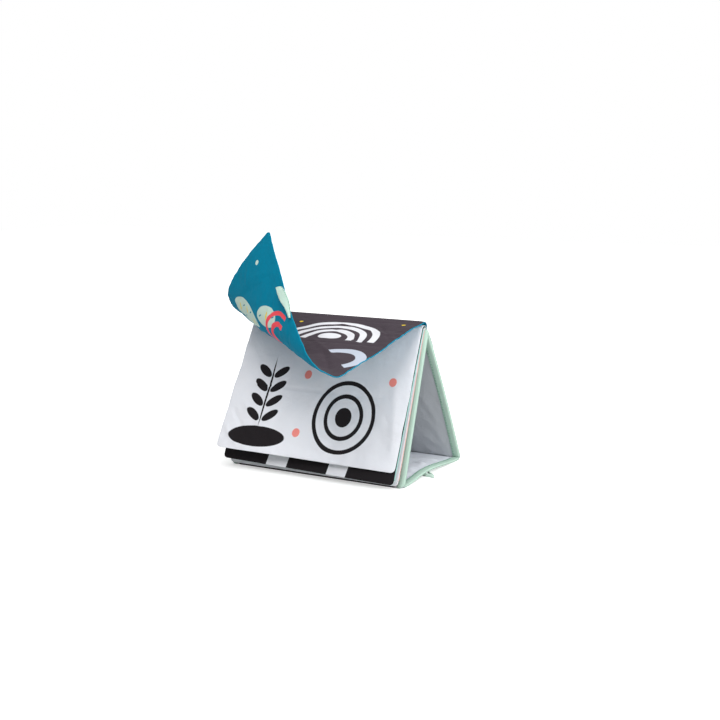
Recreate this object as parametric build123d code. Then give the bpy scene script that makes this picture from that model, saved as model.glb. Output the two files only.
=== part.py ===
from build123d import *
import os
from math import asin, atan, atan2, cos, degrees, hypot, radians, sin, tan
from types import SimpleNamespace

# A soft book that stands as a three-sided easel, open at both ends. The covers lean together at the
# ridge, a cloth base holds their feet apart, and four padded leaves are sewn in behind the ridge.
# X runs along the ridge, the leaves hang on the -Y side, and Z is up. The origin is the middle of
# the flat foot of the front cover.

# Easel, over its binding tape
easel_width = 180.0
front_slant = 141.4
back_slant = 153.1
base_depth = 119.1
cover_thickness = 3.5
back_bow = 2.0
ridge_radius = 1.0
hinge_clearance = 0.4

# Cover cloth, card boards and binding tape
sleeve_cloth = 0.6
board_play = 0.05
board_foot_margin = 7.0
board_ridge_margin = 14.0
board_side_margin = 9.0
tape_thickness = 0.45
tape_width = 6.5
tape_cap = 0.6
facing_gap = 0.4
facing_top_margin = 9.0

# Cloth base with a crease that lets it fold up between the covers
base_cloth = 1.6
crease_lift = 3.8
crease_place_share = 0.42
base_rear_clearance = 0.4

# Ribbon loop under the crease, on the right
strap_height = 3.2
strap_thickness = 0.9
strap_reach = 8.0
strap_inset = 5.5
strap_spread = 13.0
strap_bend = 1.4

# Leaves, two printed cloths each, numbered from the outside in
leaf_cloth = 0.8
leaf_gap = 0.3
leaf_width = 174.0
leaf_corner = 3.5
corner_sections = 4
seam_pitch = 0.26
seam_cloth_share = 0.9
front_layers = {2: 5, 3: 3, 4: 1}
leaf_spreads = {2: (12.5, 4.8), 3: (6.2, 4.8), 4: (2.0, 2.0)}
leaf_foot_margins = {2: (11.5, 14.0), 3: (6.1, 3.7), 4: (4.4, 4.4)}

# Strip of cloth that covers the seam and the hinge at the back
strip_cloth = 0.6
strip_length = 20.0
strip_side_margin = 0.6
strip_clearance = 0.35

# Outer leaf, lifted by its lower left corner
lifted_length = 150.0
lifted_slope = 9.5
fold_reach_share = 0.39
fold_turn = 14.2
fold_curl = 7.6
flap_curl = 1.25
corner_trim_share = 0.985
fold_sections = 5
flap_sections = 7

# Cloth tab sewn on the back of the outer leaf, at its lower edge
tab_from_share = 0.36
tab_to_share = 0.56
tab_inset = 3.0
tab_reach = 9.0
tab_cloth = 0.7
tab_clearance = 0.15
tab_sections = 6

# Print on the leaves, as thin fields
print_depth = 0.2
print_clearance = 0.05
coral_depth = 0.15
coral_clearance = 0.07
bar_shares = ((0.24, 0.36), (0.60, 0.71))
bar_lean = 12.0
ring_shares = (0.172, 0.152, 0.109, 0.089, 0.046)
ring_place_share = (0.172, 0.322)
mound_shares = (0.161, 0.049)
mound_place_share = (-0.287, 0.195)
stem_shares = (0.0115, 0.310)
stem_place_share = (-0.287, 0.408)
frond_shares = (0.047, 0.019)
frond_place_share = (0.049, 0.299)
frond_pitch_share = 0.069
frond_count = 4
frond_turn = 32.0
coral_share = 0.0207
coral_place_shares = ((-0.069, 0.230), (-0.080, 0.506), (0.402, 0.506))

# Worked out from the sizes above
overrun = cover_thickness * 3
half_width = easel_width / 2
apex_run = (front_slant**2 - back_slant**2 + base_depth**2) / (2 * base_depth)
apex_height = (front_slant**2 - apex_run**2) ** 0.5
front_lean = atan(apex_run / apex_height)
back_lean = atan((base_depth - apex_run) / apex_height)
half_angle = (front_lean + back_lean) / 2
foot_flat = cover_thickness / cos(front_lean)
front_foot = Vector(-foot_flat / 2, 0)
back_foot = Vector(base_depth - foot_flat / 2, 0)
apex = Vector(front_foot.X + apex_run, apex_height)


def polar(angle):
    """Unit vector in the end section, from an angle in radians above +Y."""
    return Vector(cos(angle), sin(angle))


right_angle = radians(90)
straight = 2 * right_angle
front = SimpleNamespace(foot=front_foot, up=polar(right_angle - front_lean), out=polar(straight - front_lean),
                        slant=front_slant, bow=0)
back = SimpleNamespace(foot=back_foot, up=polar(right_angle + back_lean), out=polar(back_lean),
                       slant=back_slant, bow=back_bow)
bisector = polar(right_angle + (back_lean - front_lean) / 2) * -1
pivot = apex + bisector * (cover_thickness / sin(half_angle))
shoulder = cover_thickness / tan(half_angle)
skin_in = tape_thickness
skin_out = cover_thickness - tape_thickness
ridge_centre = apex + bisector * ((skin_in + ridge_radius) / sin(half_angle))


def place(cover, along, depth):
    """Point of the end section, by distance up from the foot and depth below the outer face."""
    if cover.bow == 0:
        return cover.foot + cover.up * along - cover.out * depth
    half = cover.slant / 2
    radius = (half**2 + cover.bow**2) / (2 * cover.bow)
    tilt = asin((along - half) / radius)
    centre = cover.foot + cover.up * half + cover.out * (cover.bow - radius)
    return centre + (cover.up * sin(tilt) + cover.out * cos(tilt)) * (radius - depth)


def side(cover, low, high, depth):
    """One long side of a cover's section, straight or bowed."""
    ends = place(cover, low, depth), place(cover, high, depth)
    if cover.bow == 0:
        return Line(*ends)
    return ThreePointArc(ends[0], place(cover, (low + high) / 2, depth), ends[1])


def across(edges, left, right):
    """Solid between two places across the width, from the edges of its end section."""
    face = make_face(edges)
    return extrude(Plane.YZ.offset(left) * face, amount=right - left, dir=(1, 0, 0))


def band(cover, low, high, outer, inner, left, right):
    """Layer of a cover between two depths and two heights."""
    a = side(cover, low, high, outer)
    b = side(cover, low, high, inner)
    caps = [Line(a @ 0, b @ 0), Line(a @ 1, b @ 1)]
    return across([a, b] + caps, left, right)


def above_floor(shape):
    """The part of a shape that stands above the floor."""
    tall = apex_height * 2
    room = Box(easel_width * 2, base_depth * 4, tall, align=(Align.CENTER, Align.CENTER, Align.MIN))
    return shape & room


def board(cover):
    """Card stiffener inside a cover, with its slot in the cloth sleeve."""
    low = board_foot_margin
    high = cover.slant - board_ridge_margin
    outer = skin_in + sleeve_cloth
    inner = skin_out - sleeve_cloth
    reach = half_width - board_side_margin
    card = band(cover, low, high, outer + board_play, inner - board_play, -reach, reach)
    slot = band(cover, low - board_play, high + board_play, outer, inner, -half_width, half_width)
    return card, slot


def crown_outline(low, depth, inside):
    """Front cover's section turned over the ridge to the hinge line, then down its inner face."""
    radius = ridge_radius + skin_in - depth
    crown = [ridge_centre + front.out * radius, ridge_centre - bisector * radius, ridge_centre + back.out * radius]
    tail = place(back, back_slant - shoulder, 0) - back.out * depth
    start = place(front, low, depth)
    return [Line(start, crown[0]), ThreePointArc(*crown), Polyline(crown[2], tail, *inside, start)]


def sleeve_outline(low):
    """Outline of the front cover's cloth, under its tape."""
    inside = [pivot, place(front, front_slant - shoulder, skin_out), place(front, low, skin_out)]
    return crown_outline(low, skin_in, inside)


def front_cover_cloth(slot):
    """Sleeve of the front cover, turned over the ridge as far as the hinge line."""
    reach = half_width - tape_cap
    return above_floor(across(sleeve_outline(-overrun), -reach, reach)) - slot


def back_cover_cloth(slot):
    """Sleeve of the back cover, from its foot to just under the hinge line."""
    reach = half_width - tape_cap
    top = back_slant - shoulder - hinge_clearance
    return above_floor(band(back, -overrun, top, skin_in, skin_out, -reach, reach)) - slot


def front_facing():
    """Dark cloth over the outer face of the front cover, between the tapes."""
    reach = half_width - tape_width - facing_gap
    top = front_slant - facing_top_margin
    return above_floor(band(front, -overrun, top, 0, skin_in, -reach, reach))


def front_end_tape():
    """Tape folded over the right end of the front cover, and on over the ridge."""
    start = half_width - tape_width
    inside = [pivot, place(front, -overrun, cover_thickness)]
    whole = across(crown_outline(-overrun, 0, inside), start, half_width)
    core = across(sleeve_outline(-overrun * 2), start - overrun, half_width - tape_cap)
    return above_floor(whole - core)


def back_end_tape():
    """Tape folded over the right end of the back cover, up to the hinge line."""
    start = half_width - tape_width
    top = back_slant - shoulder - hinge_clearance
    whole = band(back, -overrun, top, 0, cover_thickness, start, half_width)
    core = band(back, -overrun * 2, top + overrun, skin_in, skin_out, start - overrun, half_width - tape_cap)
    return above_floor(whole - core)


def base_edge(lift):
    """One face of the base's end section, raised by lift, from the front foot to the back foot."""
    crease_y = foot_flat / 2 + (base_depth - foot_flat * 2) * crease_place_share
    lead_y = foot_flat / 2 + lift * tan(front_lean)
    foot_back = back_foot.X - cover_thickness / cos(back_lean) - base_rear_clearance
    tail_y = foot_back - lift * tan(back_lean)
    quarter = (lead_y + crease_y) / 2
    rear = (crease_y + tail_y) / 2
    return Spline((lead_y, lift), (quarter, lift + crease_lift * 0.5), (crease_y, lift + crease_lift),
                  (rear, lift + crease_lift * 0.5), (tail_y, lift))


def base_layer(low, high, left, right):
    """Layer of the base between two heights above the floor at its feet."""
    a = base_edge(low)
    b = base_edge(high)
    return across([a, b, Line(a @ 0, b @ 0), Line(a @ 1, b @ 1)], left, right)


def base_cloth_piece():
    """Soft base between the tapes' caps."""
    reach = half_width - tape_cap
    return base_layer(tape_thickness, tape_thickness + base_cloth, -reach, reach)


def base_tape():
    """Tape folded over the right end of the base."""
    start = half_width - tape_width
    whole = base_layer(0, base_cloth + tape_thickness * 2, start, half_width)
    core = base_layer(tape_thickness, tape_thickness + base_cloth, start - overrun, half_width - tape_cap)
    return whole - core


def fold_strap():
    """Ribbon loop that stands on its edge under the crease and reaches past the right end."""
    crease_y = foot_flat / 2 + (base_depth - foot_flat * 2) * crease_place_share
    inner = half_width - strap_inset
    tip = Vector(half_width + strap_reach, crease_y - strap_spread / 2)
    path = FilletPolyline((inner, crease_y - strap_spread / 4), tip, (inner + strap_inset / 2, crease_y + strap_spread / 4),
                          radius=strap_bend)
    return extrude(trace(path, strap_thickness), amount=strap_height)


def leaf_radius(layer):
    """Radius at the ridge of a boundary between layers, counted outwards from the front cover."""
    return ridge_radius + tape_thickness + leaf_gap * (layer // 2 + 1) + leaf_cloth * layer


def seam_point(layer):
    """End of a layer's boundary at the seam behind the ridge."""
    return ridge_centre + back.out * (ridge_radius + tape_thickness + leaf_gap + seam_pitch * layer)


def leaf_lean(leaf, end):
    """Lean of a hanging leaf from the vertical at its left or right side."""
    return front_lean + radians(leaf_spreads[leaf][end])


def leaf_length(leaf, end):
    """Length of a hanging leaf's side, a margin shorter than the front cover."""
    return front_slant - leaf_foot_margins[leaf][end]


def leaf_line(leaf, radius, at, trim=0):
    """Top, foot and direction of a hanging leaf at a place across it, ruled between its two sides."""
    ends = []
    for end in (0, 1):
        lean = leaf_lean(leaf, end)
        top = ridge_centre + polar(straight - lean) * radius
        ends.append((top, top + polar(-right_angle - lean) * leaf_length(leaf, end)))
    share = (at + leaf_width / 2) / leaf_width
    top, foot = [a * (1 - share) + b * share for a, b in zip(*ends)]
    up = (top - foot).normalized()
    return top, foot + up * trim, up


def leaf_section(leaf, layer, at, trim):
    """Cross section of one cloth: round the ridge from the seam, then straight down."""
    edges = []
    inner = leaf_radius(layer)
    sides = []
    for radius, seam in ((inner, seam_point(layer)), (inner + leaf_cloth, seam_point(layer + seam_cloth_share))):
        top, foot, up = leaf_line(leaf, radius, at, trim)
        edges += [TangentArc(top, seam, tangent=up), Line(top, foot)]
        sides.append((seam, foot))
    edges += [Line(a, b) for a, b in zip(*sides)]
    return Plane.YZ.offset(at) * make_face(edges)


def corner_stations():
    """Places across a hanging leaf, and how much its rounded lower corners trim it there."""
    turns = [right_angle * i / corner_sections for i in range(corner_sections + 1)]
    marks = [(leaf_corner * (1 - cos(turn)), leaf_corner * (1 - sin(turn))) for turn in turns]
    reach = leaf_width / 2
    return [(run - reach, trim) for run, trim in marks] + [(reach - run, trim) for run, trim in reversed(marks)]


def leaf_cloth_piece(leaf, layer):
    """One cloth of a hanging leaf, its lower corners rounded."""
    return loft([leaf_section(leaf, layer, at, trim) for at, trim in corner_stations()], ruled=True)


def stamp(shape):
    """Cutter through the front of the book, from a flat shape drawn in X and Z."""
    return extrude(Plane.XZ * shape, amount=base_depth * 2, both=True)


def print_layer(leaf, layer, clearance, depth):
    """Thin layer on the front of a leaf, to be cut to the shapes of its print."""
    low = leaf_radius(layer) + leaf_cloth + clearance
    sections = []
    for at in (-leaf_width / 2, leaf_width / 2):
        inner, outer = leaf_line(leaf, low, at), leaf_line(leaf, low + depth, at)
        sections.append(Plane.YZ.offset(at) * make_face(Polyline(inner[0], outer[0], outer[1], inner[1], inner[0])))
    return loft(sections, ruled=True)


def spot(place_share, shape):
    """A flat shape put across from the book's middle and up from the floor, by shares of the leaf's width."""
    return Pos(place_share[0] * leaf_width, place_share[1] * leaf_width) * shape


def oval(shares):
    """Flat oval, its radii as shares of the leaf's width."""
    return Ellipse(shares[0] * leaf_width, shares[1] * leaf_width)


def rings():
    """Disc and rings inside each other."""
    outer, gap, inner, hole, middle = [Circle(share * leaf_width) for share in ring_shares]
    return outer - gap + (inner - hole) + middle


def stem():
    """Straight stalk of the sprig."""
    return Rectangle(stem_shares[0] * leaf_width, stem_shares[1] * leaf_width)


def fronds():
    """Pairs of small leaves up the sprig's stalk."""
    shapes = []
    for i in range(frond_count):
        height = frond_place_share[1] + frond_pitch_share * i
        for way in (-1, 1):
            place_share = (stem_place_share[0] + frond_place_share[0] * way, height)
            shapes.append(spot(place_share, Rot(0, 0, frond_turn * way) * oval(frond_shares)))
    return shapes


def slanted_bar(shares):
    """Bar across the foot of a leaf, between two shares of its width."""
    left, right = [(s - 0.5) * leaf_width for s in shares]
    skew = apex_height * tan(radians(bar_lean))
    return make_face(Polyline((left, -overrun), (right, -overrun), (right + skew, apex_height),
                              (left + skew, apex_height), (left, -overrun)))


def spine_strip():
    """Cloth strip over the seam's foot and the hinge, clear of the moving cover."""
    reach = half_width - strip_side_margin
    top = back_slant - (skin_in + ridge_radius) / tan(half_angle)
    low = top - strip_length
    inner = [place(back, top, 0), place(back, low, 0)]
    lift = [back.out * strip_clearance, back.out * (strip_clearance + strip_cloth)]
    points = [inner[0] + lift[0], inner[1] + lift[0], inner[1] + lift[1], inner[0] + lift[1]]
    return across(Polyline(*points, points[0]), -reach, reach)


class LiftedLeaf:
    """The outer leaf as a bent flat sheet, straight along lines that meet at one point past a corner.

    Flat places are the distance from the left side and the distance from the ridge. Each line from
    the meeting point has an angle, from the direction of the ridge.
    """

    def __init__(self):
        slope = radians(lifted_slope)
        mid = leaf_radius(7)
        self.normal = Vector(0, -sin(slope), cos(slope))
        self.along = Vector(1, 0, 0)
        self.down = Vector(0, -cos(slope), -sin(slope))
        centre = Vector(0, ridge_centre.X, ridge_centre.Y)
        self.corner = centre + self.normal * mid - self.along * (leaf_width / 2)
        self.meet = (leaf_width * (1 + fold_reach_share), lifted_length * (1 + fold_reach_share))
        self.fold_from = atan2(leaf_width, lifted_length)
        self.fold_to = self.fold_from + radians(fold_turn)
        trim = lifted_length * fold_reach_share
        self.last = atan2(leaf_width * (corner_trim_share + fold_reach_share), trim)
        self.origin = self.corner + self.along * self.meet[0] + self.down * self.meet[1]

    def frame(self, angle):
        """Direction of the line at an angle, and the sheet's normal along it."""
        ray, side_way, normal = self.down * -1, self.along * -1, self.normal
        for start, end, curl in ((0, self.fold_from, 0), (self.fold_from, self.fold_to, fold_curl),
                                 (self.fold_to, straight, flap_curl)):
            turn = min(max(angle - start, 0), end - start)
            axis = Axis((0, 0, 0), tuple(normal + ray * curl))
            sweep = degrees(turn) * hypot(1, curl)
            ray, side_way, normal = [v.rotate(axis, sweep) for v in (ray, side_way, normal)]
        return ray, normal

    def at(self, place, lift=0):
        """Point of the sheet from its flat place, raised off the middle layer."""
        across_run, down_run = self.meet[0] - place[0], self.meet[1] - place[1]
        ray, normal = self.frame(atan2(across_run, down_run))
        return self.origin + ray * hypot(across_run, down_run) + normal * lift

    def line(self, angle, near=lifted_length):
        """Flat places where a line of the folded part meets the lower edge and the left side."""
        run = (self.meet[1] - near) * tan(angle)
        far_down = self.meet[1] - self.meet[0] / tan(angle)
        return (self.meet[0] - run, near), (0, far_down)

    def slice(self, start, end, low, high):
        """Thin cross section of the sheet between two flat places on one line."""
        points = [self.at(start, low), self.at(start, high), self.at(end, high), self.at(end, low)]
        return make_face(Polyline(*points, points[0]))

    def bent_part(self, low, high):
        """The fold and the lifted flap, ruled between straight lines."""
        steps = [self.fold_from + (self.fold_to - self.fold_from) * i / fold_sections for i in range(fold_sections)]
        steps += [self.fold_to + (self.last - self.fold_to) * i / flap_sections for i in range(flap_sections + 1)]
        return loft([self.slice(*self.line(angle), low, high) for angle in steps], ruled=True)

    def flat_part(self, low, high):
        """The half of the sheet that still lies flat, from the ridge to the diagonal."""
        corners = [(0, 0), (leaf_width, 0), (leaf_width, lifted_length)]
        points = [self.at(c, low) for c in corners]
        return extrude(make_face(Polyline(*points, points[0])), amount=high - low, dir=tuple(self.normal))

    def ridge_part(self, layer, low, high):
        """The sheet's turn over the ridge, down to the seam."""
        slope = radians(lifted_slope)
        out = polar(right_angle + slope)
        turn = polar(slope)
        mid = leaf_radius(7)
        starts = [ridge_centre + out * (mid + low), ridge_centre + out * (mid + high)]
        seams = [seam_point(layer), seam_point(layer + seam_cloth_share)]
        edges = [TangentArc(starts[0], seams[0], tangent=turn), TangentArc(starts[1], seams[1], tangent=turn),
                 Line(seams[0], seams[1]), Line(starts[0], starts[1])]
        return across(edges, -leaf_width / 2, leaf_width / 2)

    def cloth(self, layer, low, high):
        """One whole cloth of the leaf."""
        return self.ridge_part(layer, low, high) + self.flat_part(low, high) + self.bent_part(low, high)

    def tab(self):
        """Cloth tab under the lower edge, following the flap's curve."""
        angles = []
        for share in (tab_from_share, tab_to_share):
            angles.append(atan2(self.meet[0] - leaf_width * (1 - share), self.meet[1] - lifted_length))
        steps = [angles[0] + (angles[1] - angles[0]) * i / (tab_sections - 1) for i in range(tab_sections)]
        faces = []
        for angle in steps:
            start = self.line(angle, lifted_length + tab_reach)[0]
            end = self.line(angle, lifted_length - tab_inset)[0]
            top = -leaf_cloth - tab_clearance
            faces.append(self.slice(start, end, top - tab_cloth, top))
        return loft(faces, ruled=True)


def left_of(shape):
    """The same piece at the other end of the book."""
    return mirror(shape, about=Plane.YZ)


def write(name, shape):
    """One file for one piece."""
    shape.label = name
    export_step(shape, f"parts/{name}.step")
    box = shape.bounding_box().size
    print(f"{name}: {len(shape.solids())} solids, {box.X:.1f} x {box.Y:.1f} x {box.Z:.1f}")


os.makedirs("parts", exist_ok=True)
print("pivot", pivot, "apex", apex, "ridge centre", ridge_centre)

# Covers
front_board, front_slot = board(front)
back_board, back_slot = board(back)
write("front_cover_board", front_board)
write("front_cover_cloth", front_cover_cloth(front_slot))
write("front_cover_facing", front_facing())
write("back_cover_board", back_board)
write("back_cover_cloth", back_cover_cloth(back_slot))
front_tape = front_end_tape()
back_tape = back_end_tape()
write("front_binding_right", front_tape)
write("front_binding_left", left_of(front_tape))
write("back_binding_right", back_tape)
write("back_binding_left", left_of(back_tape))
write("spine_strip", spine_strip())

# Base
write("base_cloth", base_cloth_piece())
write("base_binding_right", base_tape())
write("base_binding_left", left_of(base_tape()))
write("fold_strap", fold_strap())

# Hanging leaves, the inner one first
for leaf, layer in sorted(front_layers.items(), reverse=True):
    write(f"leaf_{leaf}_back_cloth", leaf_cloth_piece(leaf, layer - 1))
    write(f"leaf_{leaf}_front_cloth", leaf_cloth_piece(leaf, layer))

# Print on the hanging leaves
leaf_3_face = print_layer(3, front_layers[3], print_clearance, print_depth)
bars = [stamp(slanted_bar(shares)) for shares in bar_shares]
write("leaf_3_bars", Compound([leaf_3_face & bar for bar in bars]))
leaf_2_face = print_layer(2, front_layers[2], print_clearance, print_depth)
leaf_2_coral_face = print_layer(2, front_layers[2], coral_clearance, coral_depth)
black_shapes = [spot(ring_place_share, rings()), spot(mound_place_share, oval(mound_shares)),
                spot(stem_place_share, stem())] + fronds()
write("leaf_2_black_print", Compound([leaf_2_face & stamp(shape) for shape in black_shapes]))
coral_shapes = [spot(share, oval((coral_share, coral_share))) for share in coral_place_shares]
write("leaf_2_coral_print", Compound([leaf_2_coral_face & stamp(shape) for shape in coral_shapes]))

# Lifted outer leaf
outer_leaf = LiftedLeaf()
write("leaf_1_back_cloth", outer_leaf.cloth(6, -leaf_cloth, 0))
write("leaf_1_front_cloth", outer_leaf.cloth(7, 0, leaf_cloth))
write("leaf_1_tab", outer_leaf.tab())
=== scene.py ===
import math

import bmesh
import bpy
from mathutils import Matrix, Vector, noise


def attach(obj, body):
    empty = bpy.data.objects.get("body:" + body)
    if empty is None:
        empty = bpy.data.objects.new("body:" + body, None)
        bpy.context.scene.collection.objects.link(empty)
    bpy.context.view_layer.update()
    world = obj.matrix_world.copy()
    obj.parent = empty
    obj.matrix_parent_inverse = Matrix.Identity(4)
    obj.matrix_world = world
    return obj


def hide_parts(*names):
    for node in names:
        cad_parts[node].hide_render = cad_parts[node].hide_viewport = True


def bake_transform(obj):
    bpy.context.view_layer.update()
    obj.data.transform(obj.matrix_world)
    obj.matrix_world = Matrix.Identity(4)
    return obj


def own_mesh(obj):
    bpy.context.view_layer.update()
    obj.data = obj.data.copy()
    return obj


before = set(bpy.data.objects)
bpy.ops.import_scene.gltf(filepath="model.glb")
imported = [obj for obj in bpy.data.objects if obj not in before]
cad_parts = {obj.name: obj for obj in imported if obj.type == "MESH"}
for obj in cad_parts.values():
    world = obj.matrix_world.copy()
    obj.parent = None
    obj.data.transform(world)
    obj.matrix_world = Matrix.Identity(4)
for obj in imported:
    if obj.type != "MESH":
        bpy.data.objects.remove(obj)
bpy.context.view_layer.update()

mm = 0.001
quarterTurn = math.pi / 2
scene = bpy.context.scene

# The book's sizes, as it was cut and sewn
easel = {
    "width": 180 * mm,
    "frontSlant": 141.4 * mm,
    "backSlant": 153.1 * mm,
    "baseDepth": 119.1 * mm,
    "thickness": 3.5 * mm,
    "backBow": 2 * mm,
    "ridgeRadius": 1 * mm,
    "hingeGap": 0.4 * mm,
    "tape": 0.45 * mm,
    "tapeWidth": 6.5 * mm,
    "tapeCap": 0.6 * mm,
}
leaves = {
    "width": 174 * mm,
    "cloth": 0.8 * mm,
    "gap": 0.3 * mm,
    "seamPitch": 0.26 * mm,
    "seamLift": 0.9,
    "overTurn": 0.3,  # radians past a quarter turn, from where a leaf hangs to its seam
    "overRows": 12,
    "corner": 3.5 * mm,
    "footSliver": 0.02 * mm,
    "spread": {2: (12.5, 4.8), 3: (6.2, 4.8), 4: (2.0, 2.0)},  # degrees off the cover, left and right
    "footMargin": {2: (11.5 * mm, 14 * mm), 3: (6.1 * mm, 3.7 * mm), 4: (4.4 * mm, 4.4 * mm)},
    "frontLayer": {1: 7, 2: 5, 3: 3, 4: 1},
}
lifted = {
    "length": 150 * mm,
    "slope": 9.5,
    "corner": 3 * mm,
    "foldReach": 0.39,
    "foldTurn": 14.2,
    "foldCurl": 7.6,
    "flapCurl": 1.25,
}


def polar(angle):  # a direction in the end section, by its angle above +Y
    return Vector((0, math.cos(angle), math.sin(angle)))


slantGap = easel["frontSlant"] ** 2 - easel["backSlant"] ** 2
apexRun = (slantGap + easel["baseDepth"] ** 2) / (2 * easel["baseDepth"])
apexHeight = math.sqrt(easel["frontSlant"] ** 2 - apexRun ** 2)
frontLean = math.atan(apexRun / apexHeight)
backLean = math.atan((easel["baseDepth"] - apexRun) / apexHeight)
halfAngle = (frontLean + backLean) / 2
footFlat = easel["thickness"] / math.cos(frontLean)
halfWidth = easel["width"] / 2
frontCover = {"foot": Vector((0, -footFlat / 2, 0)), "lean": frontLean, "up": polar(quarterTurn - frontLean),
              "out": polar(2 * quarterTurn - frontLean), "slant": easel["frontSlant"], "bow": 0}
backCover = {"foot": Vector((0, easel["baseDepth"] - footFlat / 2, 0)), "lean": backLean,
             "up": polar(quarterTurn + backLean), "out": polar(backLean), "slant": easel["backSlant"],
             "bow": easel["backBow"]}
shoulder = easel["thickness"] / math.tan(halfAngle)
bisector = -polar(quarterTurn + (backLean - frontLean) / 2)
apex = frontCover["foot"] + Vector((0, apexRun, apexHeight))
ridgeCentre = apex + bisector * ((easel["tape"] + easel["ridgeRadius"]) / math.sin(halfAngle))


def onCover(cover, along, depth, x=0.0):  # a point by its way up the cover and its depth in it
    half = cover["slant"] / 2
    if cover["bow"] == 0:
        point = cover["foot"] + cover["up"] * along - cover["out"] * depth
    else:
        radius = (half ** 2 + cover["bow"] ** 2) / (2 * cover["bow"])
        tilt = math.asin((along - half) / radius)
        centre = cover["foot"] + cover["up"] * half + cover["out"] * (cover["bow"] - radius)
        point = centre + (cover["up"] * math.sin(tilt) + cover["out"] * math.cos(tilt)) * (radius - depth)
    return Vector((x, point.y, point.z))


# Materials: woven cloth with a print of plain shapes, sewing thread and card
cloth = {
    "thread": 0.45,       # mm between threads
    "threadDepth": 0.05,  # mm
    "threadBump": 0.35,
    "crumple": 9.0,       # mm across a soft crumple
    "crumpleDepth": 0.88,
    "crumpleBump": 0.6,
    "softDetail": 3.0,
    "fineDetail": 2.0,
    "mottle": 0.08,       # share that the tone wanders
    "wideMottle": 0.035,  # patches to a mm
    "fineMottle": 2.2,
    "inkSpread": 0.3,     # mm that an edge of the print wanders
    "inkGrain": 0.9,
    "inkSoft": 0.15,      # mm of blur at that edge
    "roughness": (0.78, 0.95),
    "sheen": 0.02,
    "sheenRoughness": 0.4,
    "gloss": 0.08,
}
grains = {
    "thread": {"scale": 3000.0, "detail": 2.0, "tones": (0.8, 1.1), "bump": 0.5, "depth": 0.05,
               "roughness": 0.6},
    "card": {"scale": 900.0, "detail": 6.0, "tones": (0.75, 1.15), "bump": 0.3, "depth": 0.1,
             "roughness": 0.9},
}
inks = {
    "white": (226, 227, 232),
    "black": (33, 30, 32),
    "dark": (66, 58, 65),
    "teal": (0, 121, 151),
    "mint": (196, 218, 206),
    "coral": (240, 84, 94),
    "yellow": (236, 206, 44),
    "salmon": (238, 142, 132),
    "haze": (186, 194, 208),
}


def tone(red, green, blue):  # a screen colour as light
    def channel(value):
        value = value / 255
        return value / 12.92 if value <= 0.04045 else ((value + 0.055) / 1.055) ** 2.4
    return (channel(red), channel(green), channel(blue), 1.0)


def put(tree, kind, inputs, out=0, **settings):  # one shader node, its inputs by number
    made = tree.nodes.new("ShaderNode" + kind)
    for name, value in settings.items():
        setattr(made, name, value)
    for index, value in inputs.items():
        if isinstance(value, bpy.types.NodeSocket):
            tree.links.new(value, made.inputs[index])
        else:
            made.inputs[index].default_value = value
    return made.outputs[out]


def number(tree, operation, a, b=0.0):
    return put(tree, "Math", {0: a, 1: b}, operation=operation)


def away(tree, spot, centre, radii=(1, 1), turn=0.0):  # distance from a centre, 1 on the oval's edge
    moved = put(tree, "VectorMath", {0: spot, 1: (*centre, 0)}, operation="SUBTRACT")
    if turn:
        moved = put(tree, "VectorRotate", {0: moved, 3: math.radians(-turn)}, rotation_type="Z_AXIS")
    shrunk = put(tree, "VectorMath", {0: moved, 1: (*radii, 1)}, operation="DIVIDE")
    return put(tree, "VectorMath", {0: shrunk}, out=1, operation="LENGTH")


def below(tree, value, limit, blur):  # 1 where a value is under a limit, with a soft edge
    return put(tree, "MapRange", {0: value, 1: limit - blur, 2: limit + blur, 3: 1.0, 4: 0.0})


def motifMask(tree, spot, motif):
    kind, centre = motif[0], motif[1]
    soft = cloth["inkSoft"]
    if kind == "oval":
        radii, turn = motif[2], motif[3]
        return below(tree, away(tree, spot, centre, radii, turn), 1, soft / min(radii))
    far = away(tree, spot, centre)
    if kind == "rings":
        mask = None
        for radius in motif[2]:  # every second radius is a gap
            disc = below(tree, far, radius, soft)
            mask = disc if mask is None else number(tree, "ABSOLUTE", number(tree, "SUBTRACT", mask, disc))
        return mask
    radius, width, turn = motif[2], motif[3], motif[4]  # an arc: the half of a ring on one side of a line
    offset = number(tree, "ABSOLUTE", number(tree, "SUBTRACT", far, radius))
    ring = below(tree, offset, width / 2, soft)
    side = Vector((math.cos(math.radians(turn)), math.sin(math.radians(turn))))
    reach = put(tree, "VectorMath", {0: spot, 1: (*side, 0)}, out=1, operation="DOT_PRODUCT")
    return number(tree, "MULTIPLY", ring, below(tree, reach, side.dot(Vector(centre)), soft))


def newMaterial(name):
    material = bpy.data.materials.new(name)
    material.use_nodes = True
    return material, material.node_tree, material.node_tree.nodes["Principled BSDF"]


def barColour(tree, spot, ground, bars):  # slanted bars across the whole face
    skewed = put(tree, "VectorMath", {0: spot, 1: (1, -bars["skew"], 0)}, out=1, operation="DOT_PRODUCT")
    share = number(tree, "ADD", number(tree, "DIVIDE", skewed, bars["width"]), 0.5 + bars["offset"])
    ramp = tree.nodes.new("ShaderNodeValToRGB")
    tree.links.new(share, ramp.inputs[0])
    ramp.color_ramp.interpolation = "CONSTANT"
    stops = ramp.color_ramp.elements
    stops[0].color = tone(*ground)
    stops[1].position = bars["shares"][0]
    stops[1].color = tone(*inks["white"])
    for place, shade in zip(bars["shares"][1:], (ground, inks["white"], ground)):
        stops.new(place).color = tone(*shade)
    return ramp.outputs[0]


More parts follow.
